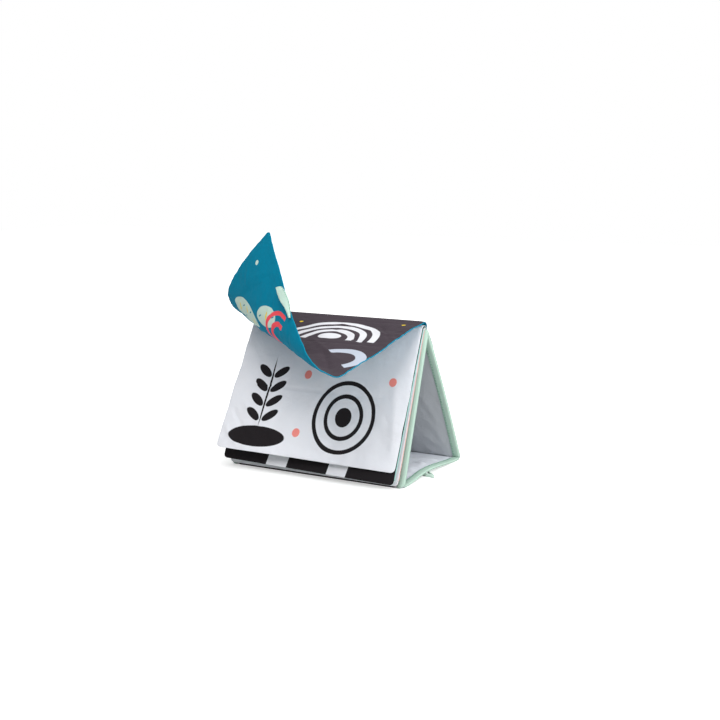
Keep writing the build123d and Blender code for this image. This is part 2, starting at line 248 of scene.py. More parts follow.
def clothMaterial(name, ground, motifs=(), across="flat", crumple=1.0, barred=None):
    material, tree, surface = newMaterial(name)
    if across == "flat":
        place = put(tree, "UVMap", {}, uv_map="flat")
    else:
        x, y, z = (put(tree, "SeparateXYZ", {0: put(tree, "TexCoord", {}, out=3)}, out=i) for i in range(3))
        place = put(tree, "CombineXYZ", {0: x, 1: z if across == "front" else y})
    spot = put(tree, "VectorMath", {0: place, 3: 1000.0}, operation="SCALE")  # millimetres

    wander = put(tree, "TexNoise", {0: spot, 2: cloth["inkGrain"], 3: cloth["fineDetail"]}, out=1)
    wander = put(tree, "VectorMath", {0: wander, 1: (0.5, 0.5, 0.5)}, operation="SUBTRACT")
    wander = put(tree, "VectorMath", {0: wander, 3: cloth["inkSpread"]}, operation="SCALE")
    inkSpot = put(tree, "VectorMath", {0: spot, 1: wander}, operation="ADD")
    colour = barColour(tree, inkSpot, ground, barred) if barred else tone(*ground)
    for motif in motifs:
        mask = motifMask(tree, inkSpot, motif)
        colour = put(tree, "Mix", {0: mask, 6: colour, 7: tone(*inks[motif[-1]])}, out=2, data_type="RGBA")

    wide = put(tree, "TexNoise", {0: spot, 2: cloth["wideMottle"], 3: cloth["softDetail"]})
    fine = put(tree, "TexNoise", {0: spot, 2: cloth["fineMottle"], 3: cloth["fineDetail"]})
    shade = number(tree, "MULTIPLY", number(tree, "ADD", wide, fine), cloth["mottle"])
    shade = number(tree, "ADD", shade, 1 - cloth["mottle"])
    varied = put(tree, "HueSaturation", {2: shade, 4: colour})
    tree.links.new(varied, surface.inputs["Base Color"])

    low, high = cloth["roughness"]
    rough = put(tree, "MapRange", {0: fine, 3: low, 4: high})
    tree.links.new(rough, surface.inputs["Roughness"])
    surface.inputs["Sheen Weight"].default_value = cloth["sheen"]
    surface.inputs["Sheen Roughness"].default_value = cloth["sheenRoughness"]
    surface.inputs["Specular IOR Level"].default_value = cloth["gloss"]

    threadScale = math.pi / 10 / cloth["thread"]
    warp = put(tree, "TexWave", {0: spot, 1: threadScale}, out=1, bands_direction="X")
    weft = put(tree, "TexWave", {0: spot, 1: threadScale}, out=1, bands_direction="Y")
    threads = number(tree, "MULTIPLY", warp, weft)
    soft = put(tree, "TexNoise", {0: spot, 2: 1 / cloth["crumple"], 3: cloth["softDetail"]})
    bump = put(tree, "Bump", {0: cloth["crumpleBump"], 1: cloth["crumpleDepth"] * crumple * mm, 3: soft})
    bump = put(tree, "Bump", {0: cloth["threadBump"], 1: cloth["threadDepth"] * mm, 3: threads, 4: bump})
    tree.links.new(bump, surface.inputs["Normal"])
    return material


def grainyMaterial(name, colour, kind):  # twisted sewing thread, or pressed card with specks
    material, tree, surface = newMaterial(name)
    look = grains[kind]
    low, high = look["tones"]
    specks = put(tree, "TexNoise", {0: put(tree, "TexCoord", {}, out=3), 2: look["scale"], 3: look["detail"]})
    shade = put(tree, "MapRange", {0: specks, 3: low, 4: high})
    varied = put(tree, "HueSaturation", {2: shade, 4: tone(*colour)})
    bump = put(tree, "Bump", {0: look["bump"], 1: look["depth"] * mm, 3: specks})
    tree.links.new(varied, surface.inputs["Base Color"])
    tree.links.new(bump, surface.inputs["Normal"])
    surface.inputs["Roughness"].default_value = look["roughness"]
    return material


# Meshes
def newPiece(name, points, faces, material, slot, flat=None):
    mesh = bpy.data.meshes.new(name)
    mesh.from_pydata([(p.x, p.y, max(p.z, 0)) for p in points], [], faces)  # nothing goes below the floor
    if flat:
        layer = mesh.uv_layers.new(name="flat")
        for corner in mesh.loops:
            layer.data[corner.index].uv = flat[corner.vertex_index]
    shape = bmesh.new()
    shape.from_mesh(mesh)
    bmesh.ops.recalc_face_normals(shape, faces=shape.faces)
    shape.to_mesh(mesh)
    shape.free()
    mesh.shade_smooth()
    mesh.materials.append(material)
    piece = bpy.data.objects.new(name, mesh)
    scene.collection.objects.link(piece)
    return piece


def shell(name, at, acrossSteps, downSteps, face, back, material, slot):
    # A sheet with two sides: at(s, t, lift) gives a point, face and back give the lift of each side
    points, flat = [], []
    for side in (face, back):
        for t in downSteps:
            for s in acrossSteps:
                across, down, lift = side(s, t)
                points.append(at(across, down, lift))
                flat.append((across, down))
    wide, tall = len(acrossSteps), len(downSteps)
    count = wide * tall
    faces = []
    for j in range(tall - 1):
        for i in range(wide - 1):
            a = j * wide + i
            quad = (a, a + 1, a + 1 + wide, a + wide)
            faces.append(quad)
            faces.append(tuple(count + k for k in reversed(quad)))
    rim = list(range(wide)) + [j * wide + wide - 1 for j in range(1, tall)]
    rim += [(tall - 1) * wide + i for i in range(wide - 2, -1, -1)]
    rim += [j * wide for j in range(tall - 2, 0, -1)]
    for a, b in zip(rim, rim[1:] + rim[:1]):
        faces.append((b, a, a + count, b + count))
    return newPiece(name, points, faces, material, slot, flat)


def tubeFaces(start, rows, around):  # the faces of closed rings joined in a row, with both ends shut
    faces = []
    for j in range(rows - 1):
        low, high = start + j * around, start + (j + 1) * around
        for i in range(around):
            k = (i + 1) % around
            faces.append((low + i, low + k, high + k, high + i))
    faces.append(tuple(start + i for i in range(around - 1, -1, -1)))
    faces.append(tuple(start + (rows - 1) * around + i for i in range(around)))
    return faces


def skin(name, loops, material, slot):
    points = [p for loop in loops for p in loop]
    return newPiece(name, points, tubeFaces(0, len(loops), len(loops[0])), material, slot)


def steps(length, pitch, fineEnds=(0.4, 1.0, 2.0, 3.5)):  # places along a side, closer near its ends
    ends = [e * mm for e in fineEnds]
    middle = length - 2 * ends[-1] - 2 * pitch
    count = max(2, round(middle / pitch))
    inner = [ends[-1] + pitch + middle * i / count for i in range(count + 1)]
    return [0.0] + ends + inner + [length - e for e in reversed(ends)] + [length]


def evenly(low, high, count):
    return [low + (high - low) * i / count for i in range(count + 1)]


def ease(value, low, high):
    share = min(max((value - low) / (high - low), 0), 1)
    return share * share * (3 - 2 * share)


seedGap = 7.31  # keeps the noise of two seeds apart


def grain(x, y, seed):
    return noise.noise(Vector((x, y, seed * seedGap)))


thread = {"length": 2.3 * mm, "pitch": 3.1 * mm, "radius": 0.25 * mm, "sides": 6}
# a stitch's rings: share of its length, of its radius, and of its radius above the cloth
stitchRings = ((-0.5, 0.25, -0.5), (-0.36, 0.85, 0.15), (0.0, 1.0, 0.45), (0.36, 0.85, 0.15),
               (0.5, 0.25, -0.5))


def stitches(name, line, material, slot):
    # A row of short sewn stitches: line holds each one's place, its way ahead and the cloth's outward way
    points, faces = [], []
    for place, ahead, outward in line:
        side = ahead.cross(outward).normalized()
        faces += tubeFaces(len(points), len(stitchRings), thread["sides"])
        for run, wide, high in stitchRings:
            centre = place + ahead * run * thread["length"] + outward * high * thread["radius"]
            for k in range(thread["sides"]):
                angle = 2 * math.pi * k / thread["sides"]
                spread = side * math.cos(angle) + outward * math.sin(angle)
                points.append(centre + spread * wide * thread["radius"])
    return newPiece(name, points, faces, material, slot)


# Leaves
outerLayer = leaves["frontLayer"][1]


def leafRadius(layer):
    return easel["ridgeRadius"] + easel["tape"] + leaves["gap"] * (layer // 2 + 1) + leaves["cloth"] * layer


def overRidge(start, heading, layer, lift, share):  # a leaf's turn from its hanging part to the seam
    height = layer + lift / leaves["cloth"] * leaves["seamLift"]
    clear = easel["ridgeRadius"] + easel["tape"] + leaves["gap"]
    seam = ridgeCentre + backCover["out"] * (clear + leaves["seamPitch"] * height)
    chord = seam - start
    sweep = 2 * heading.angle(chord)
    side = (chord - heading * chord.dot(heading)).normalized()
    radius = chord.length / (2 * math.sin(sweep / 2))
    return start + (heading * math.sin(sweep * share) + side * (1 - math.cos(sweep * share))) * radius


def turnLength(layer):
    return leafRadius(layer) * (quarterTurn + leaves["overTurn"])


def hangingLeaf(leaf):
    layer = leaves["frontLayer"][leaf]
    lengths = [easel["frontSlant"] - margin for margin in leaves["footMargin"][leaf]]
    leans = [frontLean + math.radians(spread) for spread in leaves["spread"][leaf]]
    full = sum(lengths) / 2
    over = turnLength(layer)

    def at(across, down, lift):
        ends = []
        for lean, length in zip(leans, lengths):
            start = ridgeCentre + polar(2 * quarterTurn - lean) * (leafRadius(layer) + lift)
            if down < 0:
                ends.append(overRidge(start, polar(quarterTurn - lean), layer, lift, -down / over))
            else:
                ends.append(start + polar(-quarterTurn - lean) * (down / full * length))
        point = ends[0].lerp(ends[1], across / leaves["width"])
        return Vector((across - leaves["width"] / 2, point.y, point.z))
    return at, full, over


slope = math.radians(lifted["slope"])
flatNormal = Vector((0, -math.sin(slope), math.cos(slope)))
flatDown = Vector((0, -math.cos(slope), -math.sin(slope)))
meet = (leaves["width"] * (1 + lifted["foldReach"]), lifted["length"] * (1 + lifted["foldReach"]))
foldFrom = math.atan2(leaves["width"], lifted["length"])
foldTo = foldFrom + math.radians(lifted["foldTurn"])
liftedTop = ridgeCentre + flatNormal * leafRadius(outerLayer) - Vector((leaves["width"] / 2, 0, 0))
meetPoint = liftedTop + Vector((meet[0], 0, 0)) + flatDown * meet[1]
# the leaf's bends: the angles they lie between, and how tightly the sheet curls there
liftedBends = ((0, foldFrom, 0), (foldFrom, foldTo, lifted["foldCurl"]),
               (foldTo, math.pi, lifted["flapCurl"]))


def liftedLeaf(across, down, lift):
    # The outer leaf bends as paper does: it stays straight along lines that meet past its far corner
    if down < 0:
        start = ridgeCentre + flatNormal * (leafRadius(outerLayer) + lift)
        point = overRidge(start, -flatDown, outerLayer, lift, -down / turnLength(outerLayer))
        return Vector((across - leaves["width"] / 2, point.y, point.z))
    runAcross, runDown = meet[0] - across, meet[1] - down
    angle = math.atan2(runAcross, runDown)
    ray, normal = -flatDown, flatNormal
    for start, end, curl in liftedBends:
        turn = min(max(angle - start, 0), end - start)
        if turn:
            spin = Matrix.Rotation(turn * math.hypot(1, curl), 3, normal + ray * curl)
            ray, normal = spin @ ray, spin @ normal
    return meetPoint + ray * math.hypot(runAcross, runDown) + normal * lift


creaseFade = {"rise": 6, "least": 0.05}  # how a crease deepens away from its ends


def creaseDepth(creases, across, down):
    # How far the creases press a place in. A crease is its two ends, its depth and its width in mm
    total = 0.0
    for start, end, depth, wide in creases:
        ahead = Vector(end) - Vector(start)
        offset = Vector((across / mm, down / mm)) - Vector(start)
        share = min(max(offset.dot(ahead) / ahead.length_squared, 0), 1)
        miss = (offset - ahead * share).length
        fade = min(1, creaseFade["rise"] * share * (1 - share) + creaseFade["least"])
        total += depth * fade * math.exp(-(miss / wide) ** 2)
    return total * mm


waves = {"wide": (38 * mm, 30 * mm), "narrow": (13 * mm, 16 * mm), "narrowShare": 0.35,
         "puckerLength": 14 * mm, "from": 2 * mm, "to": 28 * mm,
         "tuckPitch": 4 * mm, "tuckRise": 1.2 * mm, "tuckTo": 12 * mm}


def waved(at, length, look, seed):  # a leaf's own bends, creases and edge puckers, shared by both its cloths
    width = leaves["width"]

    def bent(across, down, lift):
        if down <= 0:
            return at(across, down, lift)
        soft = grain(across / waves["wide"][0], down / waves["wide"][1], seed + 5)
        soft += waves["narrowShare"] * grain(across / waves["narrow"][0], down / waves["narrow"][1], seed + 9)
        wave = look["soft"] * soft - creaseDepth(look["creases"], across, down)
        sideGap, footGap = max(min(across, width - across), 0), max(length - down, 0)
        for gap, run, inward, draw in ((footGap, across, down, seed), (sideGap, down, across, seed + 2)):
            pucker = grain(run / look["puckerPitch"], inward / waves["puckerLength"], draw)
            wave += look["pucker"] * pucker * math.exp(-gap / look["puckerReach"])
        return at(across, down, lift + wave * ease(down, waves["from"], waves["to"]))
    return bent


def leafCloth(name, at, length, over, corner, side, look, material, slot, replaced, seed):
    # One cloth of a leaf. It rises from the seam at its edge and puckers beside it
    width = leaves["width"]

    def inset(down):  # the rounded lower corners
        under = down - (length - corner)
        return corner - math.sqrt(max(corner ** 2 - under ** 2, 0)) if under > 0 else 0.0

    def place(s, down):
        cut = inset(min(down, length - leaves["footSliver"]))  # the foot's last row stays a little wide
        return cut + (width - 2 * cut) * s / width

    def face(s, down):
        across = place(s, down)
        cut = inset(min(down, length))
        sideGap = max(min(across - cut, width - cut - across), 0)
        edgeGap = min(sideGap, length - down)
        rise = look["rim"] + (look["middle"] - look["rim"]) * (1 - math.exp(-edgeGap / look["shoulder"]))
        tuck = grain(across / waves["tuckPitch"], down / waves["tuckPitch"], seed + 11)
        tuck *= math.exp(-edgeGap / waves["tuckPitch"]) * (1 - math.exp(-edgeGap / waves["tuckRise"]))
        return across, down, side * (rise + look["tuck"] * tuck * ease(down, waves["from"], waves["tuckTo"]))

    def back(s, down):
        return place(s, down), down, 0.0

    downSteps = evenly(-over, 0, leaves["overRows"])[:-1] + steps(length, look["pitch"])
    piece = shell(name, at, steps(width, look["pitch"]), downSteps, face, back, material, slot)
    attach(piece, "front_cover")
    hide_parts(*replaced)
    return piece


outerLook = {"rim": 0.25 * mm, "middle": 0.8 * mm, "shoulder": 2.5 * mm, "tuck": 0.35 * mm, "pitch": 1.7 * mm,
             "pucker": 0.45 * mm, "puckerPitch": 5 * mm, "puckerReach": 9 * mm, "soft": 1.3 * mm,
             "creases": []}
innerLook = dict(outerLook, rim=0.5 * mm, tuck=0.1 * mm, pucker=0.06 * mm, soft=0.1 * mm, pitch=4 * mm)
# creases as flat places in mm: a fold across the middle, and others that were pressed in storage
leaf2Creases = [
    ((2, 66), (172, 65), 0.8, 1.0), ((4, 90), (34, 122), 1.1, 1.8), ((12, 82), (48, 114), -1.1, 2.2),
    ((2, 108), (22, 127), -1.0, 1.8), ((24, 96), (60, 124), 0.8, 2.0), ((158, 40), (170, 122), -0.8, 4.0),
    ((60, 114), (112, 124), 0.5, 2.8), ((118, 56), (170, 92), 0.4, 3.4), ((8, 26), (42, 62), 0.45, 3.0),
    ((3, 40), (30, 86), -0.5, 2.8), ((84, 122), (150, 112), -0.45, 3.2),
]
liftedCreases = [
    ((80, 75), (172, 74), 0.68, 1.1), ((60, 9), (168, 13), 0.75, 1.6), ((96, 22), (166, 46), -0.75, 1.8),
    ((104, 38), (158, 74), 0.9, 1.8), ((92, 60), (150, 112), -0.68, 1.8), ((128, 96), (160, 138), 0.75, 1.6),
    ((24, 30), (70, 100), 0.75, 2.2), ((10, 60), (40, 128), -0.75, 2.4), ((138, 16), (172, 60), 0.6, 1.4),
    ((118, 96), (84, 146), 0.77, 1.6), ((108, 84), (60, 140), -0.7, 1.8), ((96, 70), (44, 118), 0.63, 2.0),
    ((6, 76), (90, 75), 0.56, 1.2), ((4, 40), (50, 96), -0.63, 2.6), ((20, 110), (46, 148), 0.56, 2.0),
    ((126, 110), (104, 147), -0.63, 1.4), ((4, 120), (26, 104), 0.56, 1.8),
]

# Prints, in mm on the flat leaf: a kind of shape, its centre, its sizes, its turn and its ink
liftedFrontPrint = [
    ("arc", (112, 66), 44, 6.5, 90, "white"),
    ("arc", (112, 66), 33, 6, 90, "white"),
    ("arc", (112, 66), 22.5, 6, 90, "white"),
    ("oval", (112, 58), (11, 6.5), 0, "white"),
    ("arc", (150, 112), 20, 9, 135, "haze"),
    ("arc", (30, 44), 20, 5.5, -90, "white"),
    ("arc", (30, 44), 11, 5, -90, "white"),
    ("oval", (30, 96), (12, 4.2), 50, "haze"),
    ("oval", (46, 108), (12, 4.2), -30, "haze"),
    ("oval", (78, 122), (4.5, 4.5), 0, "white"),
    ("oval", (92, 134), (2.4, 2.4), 0, "white"),
]
liftedFrontPrint += [("oval", place, (1.8, 1.8), 0, "yellow") for place in ((64, 26), (162, 16), (22, 126))]
yellowDashes = {(24, 79): (1.0, 4.0), (38, 90): (1.0, 4.0), (50, 88): (0.9, 3.4), (70, 118): (1.0, 4.0),
                (122, 39): (1.0, 3.6)}
tealDashes = {(32, 74): 2.8, (45, 95): 2.8, (30, 87): 2.8, (62, 110): 2.6, (78, 125): 2.6, (110, 42): 2.6}
liftedBackPrint = [
    ("oval", (36, 84), (25, 12.5), 30, "mint"),
    ("oval", (70, 117), (16, 9), 42, "mint"),
    ("oval", (118, 40), (20, 9), -15, "mint"),
    ("oval", (150, 84), (9, 4), 60, "mint"),
    ("oval", (18, 128), (2.2, 2.2), 0, "mint"),
]
liftedBackPrint += [("oval", place, radii, 20, "yellow") for place, radii in yellowDashes.items()]
liftedBackPrint += [("oval", place, (0.6, reach), -30, "teal") for place, reach in tealDashes.items()]
liftedBackPrint += [
    ("arc", (100, 116), 17, 4.2, 10, "coral"),
    ("arc", (100, 116), 26, 3.6, 10, "coral"),
    ("oval", (60, 34), (6, 6), 0, "coral"),
]
# leaf 2's print is measured from the middle of the book and up from the floor
sprig = {"x": -50, "out": 8.6, "heights": (52, 64, 76, 88), "leaf": (8.2, 3.3), "turn": 32}
leaf2Print = [
    ("rings", (30, 56), (30, 26.5, 19, 15.5, 8), "black"),
    ("oval", (sprig["x"], 34), (28, 8.5), 0, "black"),
    ("oval", (sprig["x"], 71), (1.0, 27), 0, "black"),
]
leaf2Print += [("oval", (sprig["x"] + side * sprig["out"], z), sprig["leaf"], side * sprig["turn"], "black")
               for z in sprig["heights"] for side in (-1, 1)]
leaf2Print += [("oval", place, (3.6, 3.6), 0, "salmon") for place in ((-12, 40), (-14, 88), (70, 88))]
barLean = math.radians(12)
barRun = 3 * easel["thickness"]
leaf3Bars = {"shares": (0.24, 0.36, 0.60, 0.71), "width": leaves["width"] / mm}
leaf3Bars["skew"] = apexHeight * math.tan(barLean) / (apexHeight + barRun)
leaf3Bars["offset"] = -leaf3Bars["skew"] * barRun / leaves["width"]

darkCloth = clothMaterial("darkCloth", inks["dark"], liftedFrontPrint, crumple=1.6)
tealCloth = clothMaterial("tealCloth", inks["teal"], liftedBackPrint, crumple=1.6)
pipingCloth = clothMaterial("pipingCloth", (0, 126, 156), across="front")
tabCloth = clothMaterial("tabCloth", (190, 216, 203))
whitePrint = clothMaterial("whitePrint", inks["white"], leaf2Print, across="front", crumple=1.5)
barPrint = clothMaterial("barPrint", inks["black"], across="front", barred=leaf3Bars)
whiteCloth = clothMaterial("whiteCloth", inks["white"])
mintCloth = clothMaterial("mintCloth", (196, 214, 208))
pinkCloth = clothMaterial("pinkCloth", (222, 196, 196))
paleThread = grainyMaterial("paleThread", (122, 166, 148), "thread")

overLifted = turnLength(outerLayer)
liftedLook = dict(outerLook, soft=1.6 * mm, creases=liftedCreases)
outerLeaf = waved(liftedLeaf, lifted["length"], liftedLook, 1)
for name, side, material, slot, replaced, seed in (
        ("leaf1Front", 1, darkCloth, "dark_cloth", "leaf_1_front_cloth", 1),
        ("leaf1Back", -1, tealCloth, "teal_cloth", "leaf_1_back_cloth", 12)):
    piece = leafCloth(name, outerLeaf, lifted["length"], overLifted, lifted["corner"], side, liftedLook,
                      material, slot, [replaced], seed)

hangingAt = {}
for leaf, frontCloth, backCloth, frontSlot, backSlot, prints in (
        (4, whiteCloth, pinkCloth, "white_cloth", "pink_cloth", []),
        (3, barPrint, mintCloth, "black_cloth", "pale_mint_cloth", ["leaf_3_bars"]),
        (2, whitePrint, mintCloth, "white_cloth", "pale_mint_cloth",
         ["leaf_2_black_print", "leaf_2_coral_print"])):
    at, length, over = hangingLeaf(leaf)
    look = dict(outerLook, creases=leaf2Creases) if leaf == 2 else innerLook
    at = waved(at, length, look, 20 + leaf)
    hangingAt[leaf] = at, length
    front = leafCloth(f"leaf{leaf}Front", at, length, over, leaves["corner"], 1, look, frontCloth, frontSlot,
                      [f"leaf_{leaf}_front_cloth"] + prints, 20 + leaf)
    rear = leafCloth(f"leaf{leaf}Back", at, length, over, leaves["corner"], -1, look, backCloth, backSlot,
                     [f"leaf_{leaf}_back_cloth"], 30 + leaf)
print("leaves made")

# Piping round the lifted leaf, sewn into its edge, and the seams at the ends of leaves 3 and 4
piping = {"radius": 0.5 * mm, "seamRadius": 0.55 * mm, "seamSunk": 0.5 * mm, "sides": 8, "pitch": 2 * mm,
          "cornerSteps": 8}


def straightCount(length, corner):  # places along a side, down to its rounded corner
    return int((length - corner) / piping["pitch"]) + 1


def leafEdge(length, corner):  # flat places along the sides and the lower edge, each with its outward way
    width = leaves["width"]
    left = [((0.0, i * piping["pitch"]), (-1, 0)) for i in range(straightCount(length, corner))]
    for i in range(piping["cornerSteps"] + 1):
        angle = quarterTurn * i / piping["cornerSteps"]
        place = (corner - corner * math.cos(angle), length - corner + corner * math.sin(angle))
        left.append((place, (-math.cos(angle), math.sin(angle))))
    count = int((width - 2 * corner) / piping["pitch"])
    foot = [((corner + (width - 2 * corner) * i / count, length), (0, 1)) for i in range(1, count)]
    right = [((width - across, down), (-outAcross, outDown))
             for (across, down), (outAcross, outDown) in reversed(left)]
    return left + foot + right


def pipingRings(at, edge, radius, sunk=0.0):  # sunk: how far it lies behind the leaf's middle
    rings = []
    for (across, down), (outAcross, outDown) in edge:
        ring = []
        for k in range(piping["sides"]):
            angle = 2 * math.pi * k / piping["sides"]
            reach = radius * math.cos(angle)
            lift = radius * math.sin(angle) - sunk
            ring.append(at(across + outAcross * reach, max(down + outDown * reach, 0), lift))
        rings.append(ring)
    return rings


liftedEdge = leafEdge(lifted["length"], lifted["corner"])
edgePiping = skin("leaf1Piping", pipingRings(outerLeaf, liftedEdge, piping["radius"]), pipingCloth,
                  "teal_cloth")
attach(edgePiping, "front_cover")
for leaf, shade, slot in ((3, (158, 204, 198), "pale_mint_cloth"), (4, (214, 176, 172), "pink_cloth")):
    at, length = hangingAt[leaf]
    seamCloth = clothMaterial(f"leaf{leaf}SeamCloth", shade, across="front")
    edge = leafEdge(length, leaves["corner"])
    straight = straightCount(length, leaves["corner"])
    for end, part in (("Left", edge[:straight]), ("Right", edge[-straight:])):
        rings = pipingRings(at, part, piping["seamRadius"], piping["seamSunk"])
        seam = skin(f"leaf{leaf}Seam{end}", rings, seamCloth, slot)
        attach(seam, "front_cover")

# The ribbon tab at the lifted leaf's lower edge: sewn on at both ends, it stands off the edge between them.
# Near and far are the ribbon's two sides, in mm past the edge and mm behind the leaf, at even steps along it
tab = {"from": 66 * mm, "to": 101 * mm, "cloth": 0.7 * mm, "bow": 0.5 * mm, "hem": 0.45, "hemRate": 12,
       "seam": 0.14, "seamLift": 0.6, "stitches": 12, "stitchAhead": 0.2, "columns": 32, "rows": 16,
       "near": ((-0.6, 1.5), (2.8, 1.7), (4.4, 1.6), (3.0, 1.3), (-0.5, 1.3)),
       "far": ((-3.8, 5.8), (-2.6, 6.4), (-1.1, 6.4), (0.4, 5.0), (-0.6, 3.2))}


def between(values, share):  # a smooth curve through a short list of evenly spaced places
    spot = min(max(share, 0), 1) * (len(values) - 1)
    low = min(int(spot), len(values) - 2)
    t = spot - low
    a, b, c, d = [Vector(values[min(max(low + k, 0), len(values) - 1)]) for k in (-1, 0, 1, 2)]
    return (b * 2 + (c - a) * t + (a * 2 - b * 5 + c * 4 - d) * t ** 2 + (b * 3 - a - c * 3 + d) * t ** 3) / 2


def tabPoint(share, run, lift):  # share along the edge, run across the ribbon
    across = tab["from"] + (tab["to"] - tab["from"]) * share
    edge = outerLeaf(across, lifted["length"], 0)
    past = (outerLeaf(across, lifted["length"] + mm, 0) - edge).normalized()
    under = (outerLeaf(across, lifted["length"], -mm) - edge).normalized()
    near, far = between(tab["near"], share) * mm, between(tab["far"], share) * mm
    ahead = (far - near).normalized()
    place = near.lerp(far, run) + Vector((ahead.y, -ahead.x)) * (lift + tab["bow"] * math.sin(math.pi * run))
    return edge + past * place.x + under * place.y


def tabSide(lift):  # thinner at the ribbon's woven borders
    def side(s, t):
        return s, t, lift * (tab["hem"] + (1 - tab["hem"]) * min(1, tab["hemRate"] * t * (1 - t)))
    return side


leafTab = shell("leaf1Tab", tabPoint, evenly(0, 1, tab["columns"]), evenly(0, 1, tab["rows"]),
                tabSide(tab["cloth"] / 2), tabSide(-tab["cloth"] / 2), tabCloth, "tab_cloth")
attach(leafTab, "front_cover")
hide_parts("leaf_1_tab")


def tabSeam(share):
    return tabPoint(share, tab["seam"], tab["cloth"] * tab["seamLift"])


tabLine = []
for i in range(tab["stitches"]):
    share = (i + 0.5) / tab["stitches"]
    step = tab["stitchAhead"] / tab["stitches"]
    ahead = (tabSeam(share + step) - tabSeam(share - step)).normalized()
    outward = (tabPoint(share, tab["seam"], mm) - tabPoint(share, tab["seam"], 0)).normalized()
    tabLine.append((tabSeam(share), ahead, outward))
tabStitches = stitches("leaf1TabStitches", tabLine, paleThread, "tab_cloth")
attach(tabStitches, "front_cover")
print("piping and tab made")

# Covers
sleeve = {"soft": 0.22 * mm, "pitch": 3 * mm, "edge": 8 * mm, "wide": 30 * mm, "tall": 22 * mm, "loose": 3,
          "fanPitch": 9 * mm, "fanSlant": 6, "fanReach": 16 * mm, "fanShare": 0.5, "creaseEdge": 9 * mm,
          "sagWaves": 6, "ridgeSteps": 8, "facingTop": 9 * mm, "facingGap": 0.4 * mm}
tape = {"round": 1.1 * mm, "roundSteps": 4, "bulge": 0.18 * mm, "bulgeAt": (0.75, 0.5, 0.3),
        "hem": 0.4 * mm, "hemSink": 0.12 * mm, "inner": 0.3 * mm, "pitch": 2 * mm, "corner": 3.2 * mm,
        "sway": 0.15 * mm, "swayPitch": 9 * mm, "ridgeSteps": 10, "lines": (4.6 * mm, 5.6 * mm),
        "firstStitch": 5 * mm, "bareOutside": 6 * mm, "bareInside": 14 * mm}
# painted shade: the sleeve cloth is white, and this grey darkens it everywhere so that the inside of the tent
# looks shaded. The back cover's outside and the spine strip use the same grey
shadeGreySleeveCloth = clothMaterial("shadeGreySleeveCloth", (194, 197, 202), across="front", crumple=1.8)
facingCloth = clothMaterial("facingCloth", (96, 92, 96), across="front")
tapeCloth = clothMaterial("tapeCloth", (178, 204, 190), across="front", crumple=0.6)
boardCard = grainyMaterial("boardCard", (176, 166, 150), "card")


def fitted(cover, high, depth, share):  # a height on the cover, its foot cut level with the floor
    start = depth * math.tan(cover["lean"])
    return start + (high - start) * share


def footCut(along):  # how far the covers' ends are rounded in at the foot
    near = max(tape["corner"] - along, 0)
    return tape["corner"] - math.sqrt(tape["corner"] ** 2 - near ** 2)


def onSleeve(cover, high, depth, share, x, reach, sag=0.0):
    height = fitted(cover, high, depth, share)
    return onCover(cover, height, depth + sag, x * (1 - footCut(max(height, 0)) / reach))


def coverShell(name, cover, high, outer, inner, reach, material, slot, seed, creases=()):
    def at(across, share, depth):
        return onSleeve(cover, high, depth, share, across, reach)

    def wrinkle(across, share):
        edge = min(1, (reach - abs(across)) / sleeve["edge"])
        return sleeve["soft"] * edge * grain(across / sleeve["wide"], share * high / sleeve["tall"], seed)

    def outside(across, share):
        return across, share, outer + wrinkle(across, share)

    def inside(across, share):
        up = share * high
        loose = 1 + sleeve["loose"] * math.exp(-up / sleeve["tall"])
        slant = across / sleeve["fanPitch"] + share * sleeve["fanSlant"]
        fan = grain(slant, up / sleeve["fanReach"], seed + 8) * math.exp(-up / sleeve["fanReach"])
        fan = sleeve["fanShare"] * sleeve["soft"] * abs(fan)
        press = creaseDepth(creases, across, up) * min(1, (reach - abs(across)) / sleeve["creaseEdge"])
        return across, share, inner + abs(wrinkle(across, share + 1)) * loose + fan + press

    columns = evenly(-reach, reach, round(2 * reach / sleeve["pitch"]))
    rows = evenly(0, 1, round(high / sleeve["pitch"]))
    return shell(name, at, columns, rows, outside, inside, material, slot)


skinIn, skinOut = easel["tape"], easel["thickness"] - easel["tape"]
pivot = apex + bisector * (easel["thickness"] / math.sin(halfAngle))
hingeLine = onCover(backCover, easel["backSlant"] - shoulder, 0)
sleeveReach = halfWidth - easel["tapeCap"]
backTop = easel["backSlant"] - shoulder - easel["hingeGap"]
frontTop = easel["frontSlant"] - shoulder


def overTop(radius, count):  # places round the ridge, from the front cover's face to the back cover's
    start = 2 * quarterTurn - frontLean
    return [ridgeCentre + polar(start + (backLean - start) * i / count) * radius for i in range(count + 1)]


def frontSleeve():
    # Up the front, round the ridge, a little way down behind it, and back inside to the hinge line
    tail = hingeLine - backCover["out"] * skinIn
    crown = overTop(easel["ridgeRadius"], sleeve["ridgeSteps"]) + [tail, pivot]
    shares = evenly(0, 1, round(frontTop / sleeve["pitch"]))
    loops = []
    for x in evenly(-sleeveReach, sleeveReach, round(2 * sleeveReach / sleeve["pitch"])):
        edge = min(1, (sleeveReach - abs(x)) / sleeve["edge"])
        loop = [onSleeve(frontCover, frontTop, skinIn, share, x, sleeveReach) for share in shares]
        loop += [Vector((x, point.y, point.z)) for point in crown]
        for share in reversed(shares):
            crest = edge * math.sin(math.pi * share)
            sag = sleeve["soft"] * crest * (1 + grain(x / sleeve["wide"], share * sleeve["sagWaves"], 3))
            loop.append(onSleeve(frontCover, frontTop, skinOut, share, x, sleeveReach, sag))
        loops.append(loop)
    return loops


frontCloth = skin("frontSleeve", frontSleeve(), shadeGreySleeveCloth, "cover_cloth")
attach(frontCloth, "front_cover")
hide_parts("front_cover_cloth")
